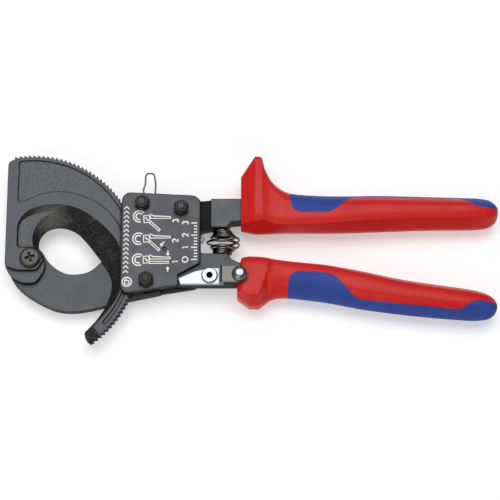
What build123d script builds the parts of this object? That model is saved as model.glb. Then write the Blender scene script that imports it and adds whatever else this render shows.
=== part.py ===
from build123d import *
import math
import os

# Ratchet cable cutter, 250 mm long, lying flat. X runs from the nose of the blade to the grip
# ends, Y runs across the two handles and Z runs through the thickness. The model is drawn with the
# blade pivot on the Z axis and the shear plane at Z = 0, and moved to its frame when it is written.

# ---------------------------------------------------------------- driving dimensions, mm
NOSE_X = -12.8             # front edge of the moving blade
GRIP_END_X = 238.2         # rounded end of the fixed grip
GUARD_TOP_Y = 53.3         # top of the guard on the fixed grip
TAIL_LOW_Y = -44.2         # lowest point across the handles, at the blade's tail
BACK_Z = -10.5             # flat backs of the grips
GRIP_HALF_DEPTH = 10.5

TEETH_PER_TURN = 144
TOOTH_PITCH = 360 / TEETH_PER_TURN
TOOTH_TIP_R = 54.8
TOOTH_ROOT_R = 53.4
FIRST_TOOTH_ANGLE = 102.5
TOOTH_COUNT = 63

BLADE_Z = (0.1, 5.25)      # moving blade, in front of the shear plane
STEM_Z = (-5.0, 0.0)       # fixed blade, behind it
FRONT_PLATE_Z = (5.4, 8.0)
REAR_PLATE_Z = (-7.7, -5.05)
ARM_Z = (-4.9, 5.2)
INNER_Z = (0.15, 5.2)      # room between the stem and the front plate
LEVER_Z = (0.15, 2.3)      # rear half of that room, for the lever that carries the drive pawl
PAWL_Z = (2.4, 5.15)       # front half, for the pawls
CATCH_Z = (5.4, 7.9)
THUMB_Z = (11.0, 13.0)     # raised thumb end of the catch

HOLD_BOLT = (56.6, 27.9)   # bolt and bush of the holding pawl
ARM_BOLT = (76.4, 25.3)    # bolt through the fixed arm
HINGE_BOLT = (59.0, -12.3) # bolt and bush of the moving handle
DRIVE_PIN = (58.2, 1.8)    # pin of the drive pawl, on the moving arm
CATCH_PIN = (91.0, -9.9)   # rivet of the catch, on the moving arm
SPRING_X = 97.1            # axis of the return spring
SPRING_Y = (2.5, 16.2)     # its seats on the two arms

BOLT_D = 4.0
SCREW_HEAD_D = 10.2
BOLT_HOLE_D = 4.2
BUSH_D = 7.0
PIVOT_D = 7.0
RUNNING = 0.06             # radial clearance of a turning fit
NUT_FLATS = 7.0
NUT_HEIGHT = 5.0

WIRE_D = 0.9
SPRING_WIRE_D = 1.2
INLAY_DEPTH = 2.5          # thickness of the soft inlays of the grips

FRAME_SHIFT = (-(NOSE_X + GRIP_END_X) / 2, -(TOOTH_TIP_R + TAIL_LOW_Y) / 2, -BACK_Z)


# ---------------------------------------------------------------- helpers
def prism(points, z_range, radii=None):
    """A closed outline with rounded corners, raised over a range of Z."""
    if radii is None:
        outline = Polyline(*points, close=True)
    else:
        outline = FilletPolyline(*points, radius=radii, close=True)
    bottom, top = z_range
    return Pos(0, 0, bottom) * extrude(make_face(outline), amount=top - bottom, dir=(0, 0, 1))


def eased_prism(points, z_range, radii, size):
    """A raised outline whose front and back edges are broken by a small chamfer."""
    body = prism(points, z_range, radii)
    faces = body.faces().sort_by(Axis.Z)
    return chamfer(faces[0].edges() + faces[-1].edges(), size)


def closed_face(curves):
    """A flat face bounded by a closed chain of lines, arcs and splines."""
    return Face(Wire([edge for curve in curves for edge in curve.edges()]))


def curved_prism(curves, z_range):
    """A closed chain of curves, raised over a range of Z."""
    bottom, top = z_range
    return Pos(0, 0, bottom) * extrude(closed_face(curves), amount=top - bottom, dir=(0, 0, 1))


def post(centre, diameter, z_range):
    """A round post or bore on a vertical axis."""
    bottom, top = z_range
    x, y = centre
    return Pos(x, y, (bottom + top) / 2) * Cylinder(diameter / 2, top - bottom)


def tube(centre, outer, inner, z_range):
    """A round bush."""
    bottom, top = z_range
    return post(centre, outer, z_range) - post(centre, inner, (bottom - 1, top + 1))


def polar(radius, angle):
    """A point at a radius and an angle in degrees about the blade pivot."""
    return (radius * math.cos(math.radians(angle)), radius * math.sin(math.radians(angle)))


def around(centre, radius, angle):
    """A point at a radius and an angle in degrees about a given centre."""
    x, y = polar(radius, angle)
    return (centre[0] + x, centre[1] + y)


def wire_rod(points, radii, diameter, z=0.0):
    """A round wire bent along straight runs with tangent arcs, in a plane of constant Z."""
    path = FilletPolyline(*[(x, y, z) for x, y in points], radius=radii)
    start = Plane(origin=path @ 0, z_dir=path % 0)
    return sweep(start * Circle(diameter / 2), path=path)


def write(name, *solids):
    """Move a node to the frame and write it as its own file."""
    shape = solids[0] if len(solids) == 1 else Compound(children=list(solids))
    export_step(shape.moved(Location(FRAME_SHIFT)), f"parts/{name}.step")


# ---------------------------------------------------------------- moving blade
def toothed_rim():
    """Saw teeth, steep on the side that the pawls push, from the nose round to the tail."""
    points = []
    for index in range(1, TOOTH_COUNT):
        tip_angle = FIRST_TOOTH_ANGLE - TOOTH_PITCH * index
        points.append(polar(TOOTH_ROOT_R, tip_angle + 0.3))
        points.append(polar(TOOTH_TIP_R, tip_angle))
    return points


# cutting edge, from the tail of the blade round the cable space to the hub
EDGE_POINTS = [(28.3, -37.4), (35.2, -29.6), (40.0, -20.5), (41.3, -11.5), (37.3, -3.0),
               (29.5, 7.4), (22.5, 14.4), (14.2, 16.9), (6.8, 14.4), (3.8, 9.2), (4.5, 4.6)]
# where the ground bevel of that edge leaves the front face
BEVEL_POINTS = [(29.8, -39.9), (37.4, -30.3), (43.9, -21.5), (47.6, -9.0), (45.5, 5.7),
                (36.6, 17.3), (28.6, 23.6), (17.0, 27.9), (5.4, 24.2), (0.3, 16.0), (0.0, 7.5)]
TAIL_TIP = (32.3, TAIL_LOW_Y)
NOSE_CORNER_R = 2.6
HUB_RIGHT = (7.4, -1.5)
HUB_LOW = (2.6, -12.2)


def blade_blank():
    """The outline of the moving blade: nose, teeth, tail, cutting edge and hub."""
    rim = toothed_rim()
    outer = [(NOSE_X, -3.5), (NOSE_X, 51.0)] + rim
    outer += [polar(TOOTH_ROOT_R, -54.5), TAIL_TIP, (31.1, -43.9), (29.9, -43.0), (29.0, -41.6),
              (28.5, -39.8), EDGE_POINTS[0]]
    edges = [Polyline(*outer)]
    edges.append(Spline(*EDGE_POINTS))
    edges.append(Spline(EDGE_POINTS[-1], (6.4, 1.2), HUB_RIGHT))
    edges.append(ThreePointArc(HUB_RIGHT, (6.2, -7.2), HUB_LOW))
    edges.append(ThreePointArc(HUB_LOW, (-5.5, -11.8), (NOSE_X, -3.5)))
    return curved_prism(edges, BLADE_Z)


def bevel_cut():
    """Wedge between the cutting edge, low, and the bevel line on the front face, high."""
    low, high = BLADE_Z[0] + 0.35, BLADE_Z[1] + 0.01
    sections = []
    for line, height in ((EDGE_POINTS, low), (BEVEL_POINTS, high)):
        curve = Spline(*line)
        close = Polyline(line[-1], (10.0, -6.0), (24.0, -40.0), line[0])
        sections.append(Pos(0, 0, height) * closed_face([curve, close]))
    return loft(sections, ruled=True)


def panel_cut():
    """Shallow cast panel that follows the teeth and narrows to a groove along the tail."""
    outer_r, groove_r = 52.0, 49.9
    lower = [polar(groove_r, -5.0), (46.6, 12.8), (35.8, 27.4), (25.5, 32.9), (12.6, 35.1),
             (3.0, 33.2), (-4.2, 29.8)]
    edges = [ThreePointArc(polar(outer_r, -41.0), polar(outer_r, 30.0), polar(outer_r, 96.0))]
    edges.append(FilletPolyline(polar(outer_r, 96.0), (-7.3, 51.4), (-7.3, 29.6), (-4.2, 29.8), radius=1.4))
    edges.append(Spline(*reversed(lower)))
    edges.append(ThreePointArc(polar(groove_r, -5.0), polar(groove_r, -25.0), polar(groove_r, -41.0)))
    edges.append(ThreePointArc(polar(groove_r, -41.0), polar((outer_r + groove_r) / 2, -42.1),
                               polar(outer_r, -41.0)))
    return curved_prism(edges, (BLADE_Z[1] - 0.8, BLADE_Z[1] + 1))


def hollow_cut():
    """Shallow hollow beside the pivot screw, with a sloped wall that runs out into the bevel."""
    rim = [(-5.3, 5.4), (-6.6, 5.9), (-7.1, 7.2), (-7.1, 16.4), (-6.3, 19.7), (-4.4, 22.8), (-1.6, 25.3),
           (2.6, 27.2), (8.0, 28.3), (15.0, 28.6), (26.0, 25.0), (6.0, 5.4)]
    floor = [(-5.1, 6.0), (-6.1, 6.4), (-6.5, 7.4), (-6.5, 16.0), (-5.9, 18.4), (-4.3, 20.5), (-1.9, 22.1),
             (1.4, 23.3), (5.4, 24.3), (9.6, 25.0), (13.0, 24.4), (6.0, 6.0)]
    sections = []
    for outline, height in ((floor, BLADE_Z[1] - 1.2), (rim, BLADE_Z[1] + 0.01)):
        sections.append(Pos(0, 0, height) * make_face(Polyline(*outline, close=True)))
    return loft(sections, ruled=True)


def hub_step_cut():
    """Lower step round the bottom of the hub, under the screw head."""
    outline = [(-14.0, 1.5), (-12.4, -4.4), (-6.5, -6.2), (3.4, -6.2), (8.0, 1.6), (12.0, 0.0),
               (12.0, -16.0), (-14.0, -16.0)]
    return prism(outline, (BLADE_Z[1] - 2.0, BLADE_Z[1] + 1), [0, 3.0, 3.0, 3.0, 0, 0, 0, 0])


def moving_blade():
    blade = blade_blank() - bevel_cut() - panel_cut() - hollow_cut() - hub_step_cut()
    nose_corners = [edge for edge in blade.edges().filter_by(Axis.Z)
                    if abs(edge.center().X - NOSE_X) < 0.01]
    blade = fillet(nose_corners, NOSE_CORNER_R)
    return blade - post((0, 0), PIVOT_D + 2 * RUNNING, (-1, 10))


# ---------------------------------------------------------------- fixed blade and housing
PLATE_OUTLINE = [(46.1, -19.6), (46.1, 34.2), (86.1, 32.2), (86.1, -13.2)]
PLATE_RADII = [4.0, 4.5, 4.5, 4.5]
PLATE_EASE = 0.35          # chamfer of the plates' outlines
DIMPLE = (68.1, 4.0)       # small punched mark on the front plate
NOTCH_R = 16.0             # the notch for the catch is round about the handle's hinge


def fixed_blade():
    """Hooked lower blade and the stem that the housing clamps, in one forging."""
    hook = [(-11.2, -5.4), (-9.4, -10.0), (-2.7, -17.4), (5.6, -22.6), (13.8, -26.0), (22.0, -26.8),
            (29.6, -25.9), (38.0, -23.9), (47.0, -21.4)]
    inner = [(44.0, 14.0), (39.0, 3.6), (34.0, -2.5), (29.7, -5.8), (24.0, -7.3), (18.4, -7.1),
             (13.2, -4.7), (9.0, -1.0), (7.2, 1.6)]
    edges = [Spline(*hook)]
    stem = [hook[-1], (66.0, -17.4), (66.0, 31.0), (51.0, 32.4), (47.4, 30.0), inner[0]]
    edges.append(Polyline(*stem))
    edges.append(Spline(*inner))
    edges.append(ThreePointArc(inner[-1], (-3.0, 7.6), hook[0]))
    blade = curved_prism(edges, STEM_Z)
    low, high = STEM_Z[0] - 0.01, STEM_Z[1] - 0.35
    bevel = [(47.5, 10.5), (43.0, -1.0), (37.5, -7.5), (31.3, -11.6), (24.4, -13.4), (17.0, -13.0),
             (10.5, -9.8), (6.5, -5.6), (5.5, -4.0)]
    sections = []
    for line, height in ((bevel, low), (inner, high)):
        close = Polyline(line[-1], (12.0, 14.0), (36.0, 18.0), line[0])
        sections.append(Pos(0, 0, height) * closed_face([Spline(*line), close]))
    blade -= loft(sections, ruled=True)
    for centre in (HOLD_BOLT, HINGE_BOLT):
        blade -= post(centre, BUSH_D, (-6, 1))
    return blade - post((0, 0), PIVOT_D, (-6, 1)) - post((0, 0), 10.0, (-6, STEM_Z[0] + 2.4))


def housing_plate(z_range, notch):
    """Steel side plate with three bolt holes. The front one has a notch for the catch and a dimple."""
    plate = eased_prism(PLATE_OUTLINE, z_range, PLATE_RADII, PLATE_EASE)
    x, y = HINGE_BOLT
    lower_edge = [(40.0, -22.8), (92.0, -11.8), (92.0, -30.0), (40.0, -30.0)]
    plate -= prism(lower_edge, (z_range[0] - 1, z_range[1] + 1))
    if notch:
        sector = [(73.0, -10.4), (87.5, -2.4), (90.0, -2.4), (90.0, -22.0), (73.0, -22.0)]
        notch_cut = prism(sector, (z_range[0] - 1, z_range[1] + 1))
        plate -= notch_cut - post((x, y), 2 * NOTCH_R, (z_range[0] - 2, z_range[1] + 2))
        plate -= post(DIMPLE, 2.0, (z_range[1] - 0.8, z_range[1] + 1))
    for centre in (HOLD_BOLT, ARM_BOLT, HINGE_BOLT):
        plate -= post(centre, BOLT_HOLE_D, (z_range[0] - 1, z_range[1] + 1))
    return plate


def bolt(centre):
    """Bolt with a flat round head behind the rear plate and its end proud of the nut."""
    head = post(centre, 7.4, (BACK_Z + 0.4, REAR_PLATE_Z[0]))
    head = fillet(head.edges().sort_by(Axis.Z)[0], 0.8)
    shank = post(centre, BOLT_D, (REAR_PLATE_Z[0] - 0.5, FRONT_PLATE_Z[1] + NUT_HEIGHT + 0.3))
    shank = chamfer(shank.edges().sort_by(Axis.Z)[-1], 0.4)
    return head + shank


def nut(centre, turn):
    """Hexagon lock nut with a rounded collar that holds its nylon ring."""
    x, y = centre
    base, top = FRONT_PLATE_Z[1], FRONT_PLATE_Z[1] + NUT_HEIGHT
    hexagon = extrude(RegularPolygon(NUT_FLATS / 2, 6, major_radius=False), amount=3.4)
    dome = Pos(0, 0, 1.7) * Cylinder(4.1, 3.4)
    dome = chamfer(dome.edges(), 0.5)
    body = Pos(x, y, base) * Rot(0, 0, turn) * (hexagon & dome)
    collar = post(centre, NUT_FLATS - 0.6, (base + 3.2, top))
    collar = fillet(collar.edges().sort_by(Axis.Z)[-1], 0.7)
    ring_seat = post(centre, 5.2, (base + 3.6, top + 1))
    return body + collar - ring_seat - post(centre, BOLT_D, (base - 1, top + 1))


def nut_ring(centre):
    """Nylon locking ring in the top of a nut."""
    base = FRONT_PLATE_Z[1]
    return tube(centre, 5.2, BOLT_D, (base + 3.6, base + NUT_HEIGHT - 0.3))


def bush(centre):
    """Hardened bush that a pawl or the handle turns on, clamped by its bolt."""
    return tube(centre, BUSH_D, BOLT_HOLE_D, (REAR_PLATE_Z[1], FRONT_PLATE_Z[0]))


# ---------------------------------------------------------------- blade pivot
def pivot_screw():
    """Cross-recess screw that the moving blade turns on."""
    head = post((0, 0), SCREW_HEAD_D, (BLADE_Z[1] + 0.05, BLADE_Z[1] + 2.2))
    head = fillet(head.edges().sort_by(Axis.Z)[-1], 1.2)
    shank = post((0, 0), 4.0, (STEM_Z[0] + 0.3, BLADE_Z[1] + 0.1))
    slot = Box(4.9, 1.2, 3.0) + Box(1.2, 4.9, 3.0)
    recess = Pos(0, 0, BLADE_Z[1] + 2.4) * Rot(0, 0, 15) * slot
    return head + shank - recess


def pivot_bush():
    return tube((0, 0), PIVOT_D, 4.0, (STEM_Z[0] + 2.4, BLADE_Z[1] + 0.05))


def pivot_nut():
    return tube((0, 0), 10.0, 4.0, (STEM_Z[0] + 0.1, STEM_Z[0] + 2.4))


# ---------------------------------------------------------------- fixed handle
ARM_EASE = 0.4             # chamfer of the forged arms' outlines
ARM_RECESS_Z = 2.2         # floor of the arm's recess beside the housing
ARM_TANG = [(107.0, 19.4), (214.0, 21.2), (216.0, 24.0), (214.0, 28.0), (107.0, 31.4)]


def fixed_arm():
    """Forged arm: a tongue clamped in the housing, a tenon in the stem, and a tang in the grip."""
    upper = [(70.0, 12.6), (84.0, 12.6), (87.6, 15.4), (92.4, 16.2), (99.8, 16.2), (101.8, 19.0)] + ARM_TANG
    upper += [(91.5, 31.4), (88.0, 30.9), (70.0, 30.9)]
    radii = [1.0, 1.5, 1.5, 0, 0.5, 0] + [0, 1.0, 2.5, 1.0, 0] + [1.5, 1.5, 1.0]
    arm = eased_prism(upper, ARM_Z, radii, ARM_EASE)
    arm += prism([(66.05, 12.6), (71.0, 12.6), (71.0, 30.3), (66.05, 30.3)], (ARM_Z[0], STEM_Z[1]))
    arm += prism([(62.0, 15.0), (67.0, 15.0), (67.0, 21.0), (62.0, 21.0)], (ARM_Z[0], STEM_Z[1]))
    arm -= Pos(88.7, 22.0, ARM_RECESS_Z + 5.0) * Box(5.6, 30.0, 10.0)
    return arm - post(ARM_BOLT, BOLT_HOLE_D, (-6, 7))


def grip_section(x, low, high, half_depth):
    """Flat-fronted hexagon across a grip at one place along it."""
    shoulder = 0.2 * (high - low)
    points = [(low, 0), (low + shoulder, half_depth), (high - shoulder, half_depth),
              (high, 0), (high - shoulder, -half_depth), (low + shoulder, -half_depth)]
    across = Plane(origin=(x, 0, 0), x_dir=(0, 1, 0), z_dir=(1, 0, 0))
    return across * make_face(Polyline(*points, close=True))


def grip_body(stations, inset=0.0):
    """Hexagonal grip lofted through its stations, or its core when it is inset."""
    sections = []
    for x, low, high, half_depth in stations:
        sections.append(grip_section(x, low + inset, high - inset, half_depth - inset))
    return loft(sections, ruled=True)


H = GRIP_HALF_DEPTH
FIXED_GRIP = [(106.8, 15.4, 32.4, H - 0.6), (113.0, 13.9, 34.6, H), (120.0, 14.0, 35.4, H),
              (132.0, 14.8, 34.8, H), (147.0, 14.5, 34.0, H), (163.0, 14.6, 33.9, H), (178.0, 15.2, 34.2, H),
              (200.0, 16.0, 33.6, H - 0.2), (224.6, 16.3, 32.8, H - 0.5), (231.0, 17.0, 32.3, H - 1.2),
              (235.4, 19.4, 30.4, H - 3.0), (GRIP_END_X, 23.0, 27.4, H - 6.0)]
MOVING_GRIP = [(105.6, -18.8, -0.6, H - 1.2), (111.0, -20.4, 2.0, H), (117.5, -20.4, 1.6, H),
               (124.0, -19.8, 0.3, H), (132.0, -19.8, -0.9, H), (150.6, -22.2, -2.6, H),
               (168.9, -25.9, -6.0, H), (187.0, -28.3, -10.1, H), (204.8, -30.2, -12.9, H - 0.2),
               (223.0, -31.5, -15.5, H - 0.5), (229.6, -31.0, -17.2, H - 1.4),
               (233.8, -28.6, -20.4, H - 3.2), (236.0, -26.2, -23.4, H - 6.0)]
FIXED_INLAY = [(132.0, 40.0), (132.0, 26.9), (135.2, 23.0), (153.4, 23.0), (160.0, 29.2), (164.4, 30.9),
               (218.4, 30.4), (225.6, 25.7), (240.0, 25.0), (240.0, 40.0)]
MOVING_INLAY = [(130.0, -40.0), (130.6, -11.4), (134.4, -7.7), (152.4, -9.5), (157.6, -15.4),
                (168.0, -23.2), (214.0, -27.4), (220.4, -23.4), (224.4, -22.8), (240.0, -25.2),
                (240.0, -40.0)]
FIXED_INLAY_RADII = [0, 3.0, 3.0, 3.0, 3.0, 3.0, 4.0, 3.0, 0, 0]
MOVING_INLAY_RADII = [0, 3.0, 3.0, 3.0, 3.0, 6.0, 3.0, 3.0, 3.0, 0, 0]


def guard():
    """Fin that stops the hand, with its nose side bevelled to a flat ridge."""
    outline = [(106.8, 15.6), (106.8, 43.0), (113.8, GUARD_TOP_Y), (117.6, 52.6), (118.8, 47.2),
               (121.8, 41.2), (126.0, 37.0), (132.0, 34.4), (132.0, 20.0), (112.0, 15.6)]
    fin = prism(outline, (-GRIP_HALF_DEPTH, GRIP_HALF_DEPTH), [0, 1.0, 1.2, 1.2, 8.0, 12.0, 12.0, 0, 0, 0])
    for side in (1, -1):
        wedge = [(114.4, side * H), (106.0, side * (H - 4.0)),
                 (106.0, side * (H + 1.0)), (114.4, side * (H + 1.0))]
        cut = extrude(Plane.XZ * make_face(Polyline(*wedge, close=True)), amount=60, both=True)
        fin -= cut
    return fin


def collar():
    """Flange at the root of the moving grip, chamfered to a blunt point on the outer side."""
    outline = [(106.6, 0.4), (104.8, -14.0), (104.8, -19.6), (111.2, -25.0), (115.8, -25.0),
               (124.0, -19.9), (120.2, 0.6)]
    flange = prism(outline, (-GRIP_HALF_DEPTH, GRIP_HALF_DEPTH), [1.0, 0, 1.0, 1.0, 1.0, 0, 0])
    for side in (1, -1):
        wedge = [(-12.0, side * H), (-26.0, side * (H - 7.0)),
                 (-26.0, side * (H + 1.0)), (-12.0, side * (H + 1.0))]
        cut = extrude(Plane.YZ * make_face(Polyline(*wedge, close=True)), amount=300)
        flange -= cut
    return flange


def inlay(stations, outline, radii):
    """Soft skin of the inlay zone, sunk into the hard grip."""
    shell = grip_body(stations) - grip_body(stations[3:-2], INLAY_DEPTH)
    return shell & prism(outline, (-20, 20), radii)


# ---------------------------------------------------------------- moving handle
MOVING_TANG = [(106.5, -2.6), (170.0, -12.6), (212.0, -19.8), (213.4, -23.0), (211.0, -26.6),
               (168.0, -19.6), (106.0, -13.6)]


def moving_arm():
    """Forged arm: an eye on the hinge bush, a lever for the drive pawl, and a tang in the grip."""
    clear = RUNNING + BUSH_D / 2
    seat_y = SPRING_Y[0]
    outline = [(72.0, -13.6), (72.0, 4.4), (89.0, seat_y), (100.0, seat_y), (102.0, -0.6)] + MOVING_TANG
    arm = eased_prism(outline, ARM_Z, [2.0, 2.0, 0, 0.8, 0.8] + [0, 0, 2.0, 1.5, 2.0, 0, 0], ARM_EASE)
    eye = post(HINGE_BOLT, 9.6, INNER_Z)
    neck_outline = [(59.0, -17.1), (59.0, -7.5), (66.0, 3.4), (74.0, 4.2), (74.0, -13.6)]
    neck = prism(neck_outline, INNER_Z, [0, 0, 3.0, 0, 0])
    left = DRIVE_PIN[0] - 2.5
    lever_outline = [(HINGE_BOLT[0] - 4.8, HINGE_BOLT[1]), (left, DRIVE_PIN[1]), (61.4, 3.4), (66.0, -6.0)]
    lever = prism(lever_outline, LEVER_Z)
    lever += post(DRIVE_PIN, 5.0, LEVER_Z)
    arm += eye + neck + lever
    room_outline = [(50.0, -6.9), (50.0, 12.0), (71.0, 12.0), (71.0, -3.0), (62.5, -6.9)]
    arm -= prism(room_outline, (PAWL_Z[0] - 0.05, 6.0))
    arm -= post(HINGE_BOLT, 2 * clear, (-1, 7))
    arm -= post(DRIVE_PIN, 2.5, (-1, 7))
    return arm - post(CATCH_PIN, 5.0, (-6, 7))


def rotated(shape, centre, angle):
    """A shape turned about a vertical axis through a centre."""
    x, y = centre
    return Pos(x, y, 0) * Rot(0, 0, angle) * Pos(-x, -y, 0) * shape


# ---------------------------------------------------------------- ratchet pawls
DRIVE_TOOTH = -7.5         # angle of the tooth that the drive pawl pushes
HOLD_TOOTH = 17.5          # angle of the tooth that the holding pawl blocks
DRIVE_LIFT = 8.5           # turn of the drive pawl from the tooth gap to its place at rest
HOLD_LIFT = 8.0            # turn of the holding pawl from the tooth gap to its place at rest


def pawl_tip(tooth_angle):
    """Three corners of a pawl's tip, seated in the gap above a tooth."""
    return (polar(TOOTH_TIP_R + 0.65, tooth_angle + 0.45), polar(TOOTH_ROOT_R + 0.65, tooth_angle + 0.65),
            polar(TOOTH_TIP_R + 0.55, tooth_angle + 2.1))


def drive_pawl():
    """Strut from the pin of the moving arm to the teeth."""
    low, point, high = pawl_tip(DRIVE_TOOTH)
    outline = [around(DRIVE_PIN, 2.3, 200), high, point, low, (58.4, -6.2), around(DRIVE_PIN, 2.3, -10)]
    pawl = prism(outline, PAWL_Z) + post(DRIVE_PIN, 4.6, PAWL_Z)
    pawl -= post(DRIVE_PIN, 2.5 + 2 * RUNNING, (0, 7))
    return rotated(pawl, DRIVE_PIN, DRIVE_LIFT)


def drive_pawl_pin():
    return post(DRIVE_PIN, 2.5, (LEVER_Z[0], PAWL_Z[1]))


LOOP_ROUTE = [(57.2, 32.0), (56.8, 36.6), (57.7, 39.4), (57.9, 45.3), (62.2, 45.3), (63.0, 39.6),
              (62.8, 31.4)]


def release_loop():
    """Bent wire loop that stands out of the housing and lifts the holding pawl."""
    middle = (PAWL_Z[0] + PAWL_Z[1]) / 2
    return wire_rod(LOOP_ROUTE, [2.0, 2.0, 1.9, 1.9, 2.0], WIRE_D, middle)


def holding_pawl():
    """Pawl on the upper bush that keeps the blade from opening between strokes."""
    low, point, high = pawl_tip(HOLD_TOOTH)
    outline = [around(HOLD_BOLT, 5.4, 200), high, point, low, around(HOLD_BOLT, 5.4, -30)]
    pawl = prism(outline, PAWL_Z) + post(HOLD_BOLT, 10.8, PAWL_Z)
    pawl = rotated(pawl, HOLD_BOLT, HOLD_LIFT)
    pawl += prism([(56.6, 23.5), (64.6, 27.0), (64.6, 32.4), (55.6, 33.2)], PAWL_Z, [0, 1.5, 1.5, 1.0])
    pawl -= post(HOLD_BOLT, BUSH_D + 2 * RUNNING, (0, 7))
    return pawl - release_loop()


def linkage_spring():
    """Bent wire spring that loads both pawls and shows at the open end of the housing."""
    route = [(66.6, 9.4), (80.0, 10.6), (85.0, 12.0), (88.6, 11.0), (85.0, 6.4), (79.0, 6.6)]
    return wire_rod(route, [6.0, 3.0, 0.8, 3.0], WIRE_D, 2.7)


# ---------------------------------------------------------------- catch
def catch_lever():
    """Bent strip: a leaf that bears in the notch of the plate, and a raised thumb end."""
    leaf = prism([(75.4, -11.4), (76.2, -14.3), (98.0, -14.3), (98.0, -6.2), (91.0, -5.9), (83.0, -8.0)],
                 CATCH_Z, [0.5, 0.8, 0, 0, 6.0, 6.0])
    thumb = prism([(96.0, -14.3), (110.4, -14.3), (110.4, -6.2), (96.0, -6.2)], THUMB_Z, [0, 3.9, 3.9, 0])
    riser = prism([(96.0, -14.3), (98.0, -14.3), (98.0, -6.2), (96.0, -6.2)], (CATCH_Z[0], THUMB_Z[1]))
    return leaf + thumb + riser - post(CATCH_PIN, 5.0 + 2 * RUNNING, (0, 20))


def catch_knob():
    """Domed thumb knob riveted to the end of the catch."""
    centre = (106.2, -10.3)
    dome = Pos(*centre, THUMB_Z[1]) * Cylinder(3.8, 3.4, align=(Align.CENTER, Align.CENTER, Align.MIN))
    return fillet(dome.edges().sort_by(Axis.Z)[-1], 2.6)


def catch_rivet():
    """Semi-tubular rivet with a dished head that the catch turns on."""
    shank = post(CATCH_PIN, 5.0, (ARM_Z[0], CATCH_Z[1]))
    head = post(CATCH_PIN, 8.0, (CATCH_Z[1] + 0.05, CATCH_Z[1] + 1.2))
    head = fillet(head.edges().sort_by(Axis.Z)[-1], 0.6)
    neck = post(CATCH_PIN, 5.0, (CATCH_Z[1] - 0.1, CATCH_Z[1] + 0.2))
    return head + neck + shank - post(CATCH_PIN, 3.2, (CATCH_Z[0], 20))


def catch_washer():
    return tube(CATCH_PIN, 9.0, 5.0, (ARM_Z[1], CATCH_Z[0]))


# ---------------------------------------------------------------- return spring
def return_spring():
    """Double-cone compression spring between the arms, its coils joined by a thin wall."""
    low, high = SPRING_Y
    end_r, waist_r, coils = 3.9, 8.2, 9
    half = (high - low) / 2 - SPRING_WIRE_D / 2
    middle = (low + high) / 2
    body = None
    for index in range(coils):
        t = 2 * index / (coils - 1) - 1
        radius = waist_r - (waist_r - end_r) * abs(t)
        ring = Pos(SPRING_X, middle + half * t, 0) * Rot(90, 0, 0) * Torus(radius, SPRING_WIRE_D / 2)
        body = ring if body is None else body + ring
    wall = 0.25
    profile = [(end_r - wall, -half), (waist_r - wall, 0), (end_r - wall, half),
               (end_r + wall, half), (waist_r + wall, 0), (end_r + wall, -half)]
    skin = revolve(Plane.XY * make_face(Polyline(*profile, close=True)), axis=Axis.Y)
    return body + Pos(SPRING_X, middle, 0) * skin


def spring_seat(low, high):
    """Peg that centres one end of the return spring."""
    return Pos(SPRING_X, (low + high) / 2, 0) * Rot(90, 0, 0) * Cylinder(3.0, high - low)


# ---------------------------------------------------------------- all nodes
def main():
    os.makedirs("parts", exist_ok=True)
    arm = fixed_arm()
    lever_arm = moving_arm()
    stem = fixed_blade()
    write("moving_blade", moving_blade())
    write("fixed_blade", stem - arm)
    write("front_plate", housing_plate(FRONT_PLATE_Z, notch=True))
    write("rear_plate", housing_plate(REAR_PLATE_Z, notch=False))
    bolts = (HOLD_BOLT, ARM_BOLT, HINGE_BOLT)
    write("plate_bolts", *[bolt(centre) for centre in bolts])
    write("lock_nuts", *[nut(centre, turn) for centre, turn in zip(bolts, (30, 27, 33))])
    write("nut_rings", *[nut_ring(centre) for centre in bolts])
    write("holding_pawl_bush", bush(HOLD_BOLT))
    write("handle_hinge_bush", bush(HINGE_BOLT))
    write("pivot_screw", pivot_screw())
    write("pivot_bush", pivot_bush())
    write("pivot_nut", pivot_nut())
    write("fixed_arm", arm)
    fixed_skin = inlay(FIXED_GRIP, FIXED_INLAY, FIXED_INLAY_RADII) - arm
    write("fixed_grip", grip_body(FIXED_GRIP) + guard() - arm - fixed_skin)
    write("fixed_grip_inlay", fixed_skin)
    write("moving_arm", lever_arm)
    moving_skin = inlay(MOVING_GRIP, MOVING_INLAY, MOVING_INLAY_RADII) - lever_arm
    write("moving_grip", grip_body(MOVING_GRIP) + collar() - lever_arm - moving_skin)
    write("moving_grip_inlay", moving_skin)
    write("upper_spring_seat", spring_seat(SPRING_Y[1] - 3.0, SPRING_Y[1]))
    write("lower_spring_seat", spring_seat(SPRING_Y[0], SPRING_Y[0] + 3.0))
    write("return_spring", return_spring())
    write("drive_pawl", drive_pawl())
    write("drive_pawl_pin", drive_pawl_pin())
    write("holding_pawl", holding_pawl())
    write("release_loop", release_loop())
    write("linkage_spring", linkage_spring())
    write("catch_lever", catch_lever())
    write("catch_knob", catch_knob())
    write("catch_rivet", catch_rivet())
    write("catch_washer", catch_washer())


main()
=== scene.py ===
import math

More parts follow.
